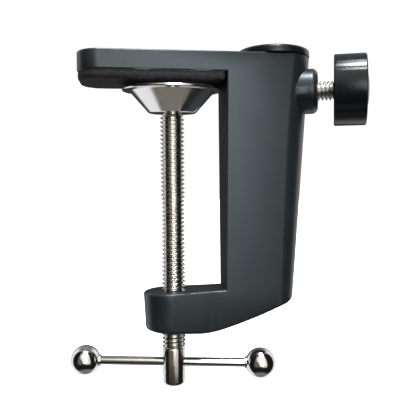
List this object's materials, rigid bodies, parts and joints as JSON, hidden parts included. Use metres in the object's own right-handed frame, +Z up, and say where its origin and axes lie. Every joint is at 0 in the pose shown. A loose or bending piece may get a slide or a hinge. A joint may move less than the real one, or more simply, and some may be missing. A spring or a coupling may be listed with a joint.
{
  "type": "bench clamp stand base",
  "caption": "C-shaped bench clamp with a vertical arm socket, a lobed lock knob and a threaded spindle with swivel pressure cup and sliding tommy bar.",
  "frame": {"origin": "centre of the arm socket's bore, at the mouth of its bush", "axes": "+Z up along the arm socket, +X from the clamp screw towards the lock knob"},
  "size_m": [0.1012, 0.037, 0.1114],
  "materials": {
    "frame_paint": "satin dark blue-grey paint on die-cast zinc",
    "bush_plastic": "gloss",
    "adhesive": "matte",
    "pad_rubber": "matte foam rubber",
    "plated_steel": "nickel plate, rolled thread",
    "zinc_steel": "bright zinc",
    "chrome_plate": "polished",
    "knob_plastic": "gloss"
  },
  "bodies": {
    "base": {"clamp_frame": "frame_paint", "socket_bush": "bush_plastic", "pad_adhesive": "adhesive", "jaw_pad": "pad_rubber"},
    "screw_end": {"screw_rivet": "plated_steel"},
    "spindle": {"clamp_screw": "plated_steel"},
    "handle": {"tommy_bar": "chrome_plate", "bar_ball_left": "chrome_plate", "bar_ball_right": "chrome_plate"},
    "swivel": {"cup_washer": "zinc_steel"},
    "cup": {"pressure_cup": "chrome_plate"},
    "lock_point": {"lock_screw_tip": "zinc_steel"},
    "lock": {"lock_screw": "zinc_steel", "lock_knob": "knob_plastic", "knob_cap": "knob_plastic"}
  },
  "joints": [
    {"name": "clamp_travel", "type": "slide", "parent": "base", "child": "screw_end", "axis": [0, 0, 1], "range_m": [-0.0565, 0.0003]},
    {"name": "screw_turn", "type": "hinge", "parent": "screw_end", "child": "spindle", "pos_m": [-0.0341, 0, -0.0785], "axis": [0, 0, 1], "range_deg": [-14411, 76]},
    {"name": "bar_slide", "type": "slide", "parent": "spindle", "child": "handle", "axis": [0.9826, -0.1857, 0], "range_m": [-0.0196, 0.0209]},
    {"name": "cup_spin", "type": "hinge", "parent": "screw_end", "child": "swivel", "pos_m": [-0.0341, 0, -0.0207], "axis": [0, 0, 1], "continuous": true},
    {"name": "cup_tilt", "type": "hinge", "parent": "swivel", "child": "cup", "pos_m": [-0.0341, 0, -0.0191], "axis": [1, 0, 0], "range_deg": [-6, 0.2]},
    {"name": "lock_travel", "type": "slide", "parent": "base", "child": "lock_point", "axis": [-0.9438, 0.3305, 0], "range_m": [-0.003, 0.0049]},
    {"name": "lock_turn", "type": "hinge", "parent": "lock_point", "child": "lock", "pos_m": [0.01397, -0.00489, -0.01375], "axis": [-0.9438, 0.3305, 0], "range_deg": [-850, 1388]}
  ],
  "couplings": [
    {"joint": "clamp_travel", "follows": "screw_turn", "m_per_rad": 0.00022458},
    {"joint": "lock_travel", "follows": "lock_turn", "m_per_rad": 0.00020213}
  ]
}
